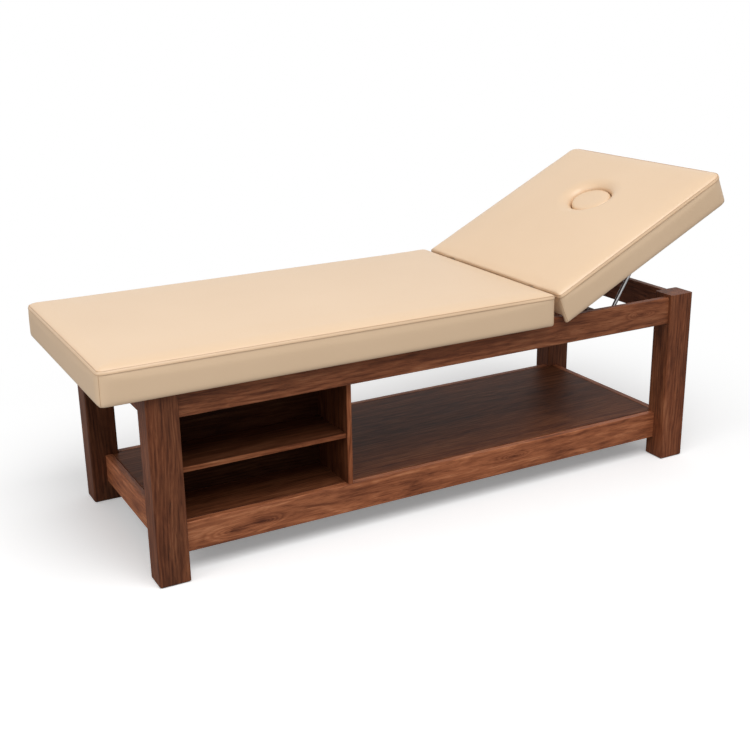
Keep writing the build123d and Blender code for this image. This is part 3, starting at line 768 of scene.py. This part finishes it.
def sew_edge(cover, name, body, origin, up, seam, keep):
    """The seam round a cover, at its height over the origin: the lap, a fold
    along each side of it and one row of thread. The folds are painted darker, as
    painted shade in the creases beside the lap."""
    def band(width, height):
        return (
            (origin + up * (height + width / 2), up),
            (origin + up * (height - width / 2), -up),
        )

    lap = strip_of(cover, name + "_lap", band(lap_width, seam), keep, lap_thick)
    dress(lap, seam_shade, body)
    for side_name, side_at in (("upper", seam + lap_width / 2), ("lower", seam - lap_width / 2)):
        fold = strip_of(
            cover, f"{name}_fold_{side_name}", band(fold_width, side_at), keep, fold_thick
        )
        dress(fold, painted_crease_shade, body)
    thread = thread_on(lap, name + "_thread", origin + up * (seam - thread_below_seam), up)
    dress(thread, thread_shade, body)


def join_corners(cover, name, body, corners, origin, up, low, high):
    """The upright joins of the side band, one thin line at each corner, painted
    darker as painted shade in the crease of the join.
    """
    for count, (corner, across) in enumerate(corners):
        half = across * (join_width / 2)
        join = strip_of(
            cover, f"{name}_join_{count}",
            ((corner + half, across), (corner - half, -across),
             (origin + up * high, up), (origin + up * low, -up)),
            lambda c: ((c - corner) - up * (c - corner).dot(up)).length < join_reach,
            join_thick,
        )
        dress(join, painted_crease_shade, body)


table_centre, upright = Vector((0, 0, 0)), Vector((0, 0, 1))
main_corner_inset = 0.005
main_seam = m_high.z - seam_below_top
sew_edge(
    main, "main_cushion", "frame", table_centre, upright, main_seam, lambda c: True
)
main_corners = [
    (
        Vector((end_x, side_sign * main_side, 0.0))
        - Vector((end_sign, side_sign, 0.0)) * main_corner_inset,
        Vector((side_sign, -end_sign, 0.0)).normalized(),
    )
    for end_x, end_sign in ((main_foot, -1.0), (main_head, 1.0))
    for side_sign in (-1.0, 1.0)
]
join_corners(
    main, "main_cushion", "frame", main_corners, table_centre, upright,
    m_low.z + join_over_rim, main_seam - lap_width / 2,
)


# The back section's cushion: the same foam and cover on its own board. Its
# foot face leans back from the hinge, and an oval opening goes through it. It
# is made flat round the hinge pin, then lifted to its slope.
rest_lean = radians(26.5)
pin = Vector(frame["joints"][0]["pos_m"])
section_side = m_high.y - side_inset
section_base, section_top = -0.076, 0.028
section_seam = section_top - seam_below_top
section_edge = section_top - edge_below_top
section_foot, section_head = -0.0175, 0.656
foot_face_lean, head_face_lean = 0.014, 0.007
section_crown = ((0.016, 0.0046), (0.032, 0.0032), (0.070, 0.0022))
section_foot_corner, section_head_corner = 0.007, 0.030
section_skirt_gap, section_skirt_thick, section_recess = 0.005, 0.020, 0.024
back = block(
    "back_cushion_cover",
    (section_foot, -section_side, section_base),
    (section_head, section_side, section_edge),
)
crown(back, section_crown)
for end_x, lean in ((section_foot, foot_face_lean), (section_head, head_face_lean)):
    shift_edges(
        back,
        lambda a, b: abs(a.x - end_x) < touching and abs(b.x - end_x) < touching
        and min(a.z, b.z) > 0.0,
        (lean, 0.0, 0.0),
    )
round_edges(
    back,
    upright_at(lambda x: x < section_foot + foot_face_lean + near_edge),
    section_foot_corner, 8,
)
round_edges(
    back, upright_at(lambda x: x > section_head - near_edge), section_head_corner, 8
)
round_edges(back, level_at(section_edge), top_round, 5)
round_edges(back, level_at(section_base), bottom_round, 3)
cut_away(back, block(
    "section_skirt_inside",
    (section_foot - cut_past_end, -leg_side - section_skirt_gap, section_base - cut_past),
    (section_head - section_skirt_thick, leg_side + section_skirt_gap,
     section_base + section_recess),
))

# Room is left under it, on both sides, for what it passes on its way down.
head_leg_low, head_leg_high = (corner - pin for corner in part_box("leg_head_back"))
lug_low, lug_high = (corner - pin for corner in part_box("hinge_lug_back"))
leg_room, leg_room_from, leg_room_to = 0.008, 0.020, 0.030
eye_room_near, eye_room_far, eye_room_head, eye_room_top = 0.2035, 0.2295, 0.022, 0.0122
lug_room, lug_room_head, lug_room_deep = 0.005, 0.100, 0.036
for side_sign in (-1.0, 1.0):
    for room_low, room_high in (
        # over the top of the head leg
        ((head_leg_low.x - leg_room, head_leg_low.y - leg_room, section_base + leg_room_from),
         (head_leg_high.x + leg_room, leg_side + section_skirt_gap, section_base + leg_room_to)),
        # round the eye of the hinge and its bolt
        ((section_foot - cut_past_end, eye_room_near, section_base - cut_past),
         (eye_room_head, eye_room_far, eye_room_top)),
        # over the foot of the lug and its screws
        ((section_foot - cut_past_end, lug_low.y - lug_room, section_base - cut_past),
         (lug_room_head, lug_high.y + lug_room, section_base + lug_room_deep)),
    ):
        edges = sorted((side_sign * room_low[1], side_sign * room_high[1]))
        cut_away(back, block(
            "room_under_section",
            (room_low[0], edges[0], room_low[2]),
            (room_high[0], edges[1], room_high[2]),
        ))


def oval_block(name, at_x, half_long, half_wide, foot, top):
    """An upright oval block between two heights, with its place in its mesh."""
    bpy.ops.object.select_all(action="DESELECT")
    bpy.ops.mesh.primitive_cylinder_add(vertices=72, radius=1.0, depth=1.0)
    piece = bpy.context.object
    piece.name = name
    piece.scale = (half_long, half_wide, top - foot)
    piece.location = (at_x, 0.0, (top + foot) / 2)
    bpy.ops.object.transform_apply(location=True, rotation=True, scale=True)
    return piece


# The wall of the opening is upright below and flares out in a roll above.
opening_at, opening_half_long, opening_half_wide = 0.426, 0.0625, 0.0775
flare_wide, flare_deep, flare_turn, flare_steps = 0.026, 0.024, radians(50), 6
flare_over_top, opening_deep = 0.0003, 0.080
flare_foot = section_top - flare_deep + flare_over_top
opening = oval_block(
    "face_opening", opening_at, opening_half_long, opening_half_wide,
    flare_foot - opening_deep, flare_foot,
)
pick(opening, lambda c, n: n.z > 0.9)
for step in range(flare_steps):
    turn_a, turn_b = flare_turn * step / flare_steps, flare_turn * (step + 1) / flare_steps
    rise = flare_deep * (sin(turn_b) - sin(turn_a)) / sin(flare_turn)
    out_a, out_b = (
        flare_wide * (1 - cos(turn)) / (1 - cos(flare_turn)) for turn in (turn_a, turn_b)
    )
    grow_long = (opening_half_long + out_b) / (opening_half_long + out_a)
    grow_wide = (opening_half_wide + out_b) / (opening_half_wide + out_a)
    bpy.ops.mesh.extrude_region_move(TRANSFORM_OT_translate={"value": (0, 0, rise)})
    bpy.ops.transform.resize(
        value=(grow_long, grow_wide, 1.0), center_override=(opening_at, 0.0, 0.0)
    )
bpy.ops.mesh.extrude_region_move(TRANSFORM_OT_translate={"value": (0, 0, cut_past)})
bpy.ops.object.mode_set(mode="OBJECT")
cut_away(back, opening)
recess_hold, foot_face_hold, section_voxel = 0.034, 0.004, 0.0062
hinge_hold_near, hinge_hold_far, hinge_hold_head, hinge_hold_top = 0.195, 0.260, 0.030, 0.020
opening_hold_share, opening_hold_below = 1.12, 0.020


def section_held(co):
    """The rim, the foot face, the inside of the skirt, the slots for the
    hinges and the wall of the opening stay."""
    in_skirt = (
        co.z < section_base + recess_hold
        and abs(co.y) < leg_side + skirt_hold
        and co.x < section_head - skirt_wall
    )
    by_hinge = (
        co.z < hinge_hold_top
        and co.x < hinge_hold_head
        and hinge_hold_near < abs(co.y) < hinge_hold_far
    )
    from_opening = Vector((
        (co.x - opening_at) / opening_half_long, co.y / opening_half_wide
    )).length
    in_opening = from_opening < opening_hold_share and co.z < section_top - opening_hold_below
    at_edge = co.z < section_base + rim_hold or co.x < section_foot + foot_face_hold
    return at_edge or in_skirt or by_hinge or in_opening


def lift_to_slope(piece):
    """Turns a piece about the hinge pin, from flat to its slope at rest."""
    only(piece)
    piece.rotation_euler = (0.0, -rest_lean, 0.0)
    piece.location = pin
    bpy.ops.object.transform_apply(location=True, rotation=True, scale=True)


stuff(back, section_held, section_voxel, swell)
lift_to_slope(back)
back.data.materials.append(cover_leather)
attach(back, "back_section")
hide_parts("back_cushion")


# The seams of the back section's cover, made like those of the main cushion.
# Its head corners are rounded without a join.
section_along = Vector((cos(rest_lean), 0.0, sin(rest_lean)))
section_up = Vector((-sin(rest_lean), 0.0, cos(rest_lean)))
opening_centre = pin + section_along * opening_at
clear_of_opening, foot_corner_inset, side_corner_inset = 0.13, 0.010, 0.004


def outside_opening(c):
    """Whether a place is well away from the face opening, seen along it."""
    flat = (c - opening_centre) - section_up * (c - opening_centre).dot(section_up)
    return flat.length > clear_of_opening


sew_edge(
    back, "back_cushion", "back_section", pin, section_up, section_seam, outside_opening
)
back_corners = [
    (
        pin + section_along * (section_foot + foot_corner_inset)
        + Vector((0, side_sign * (section_side - side_corner_inset), 0)),
        (section_along + Vector((0, side_sign, 0))).normalized(),
    )
    for side_sign in (-1.0, 1.0)
]
join_corners(
    back, "back_cushion", "back_section", back_corners, pin, section_up,
    section_base + join_over_rim, section_seam - lap_width / 2,
)


# The plug of the face opening: a small oval cushion in the same cover, a
# little smaller than the hole, lying on the ledge of the board under it.
plug_gap, plug_round, plug_bottom_round = 0.0035, 0.013, 0.004
plug_over_base, plug_below_top = 0.0245, 0.0140
plug_swell, plug_crown_deep, plug_voxel = 0.0015, 0.030, 0.003
plug_foot, plug_top = section_base + plug_over_base, section_top - plug_below_top
plug = oval_block(
    "face_plug_cover", opening_at,
    opening_half_long - plug_gap, opening_half_wide - plug_gap, plug_foot, plug_top,
)
round_edges(plug, level_at(plug_top), plug_round, 5)
round_edges(plug, level_at(plug_foot), plug_bottom_round, 2)
stuff(plug, lambda co: co.z < plug_top - plug_crown_deep, plug_voxel, plug_swell)
lift_to_slope(plug)
plug.data.materials.append(cover_leather)
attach(plug, "plug")
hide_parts("face_plug")
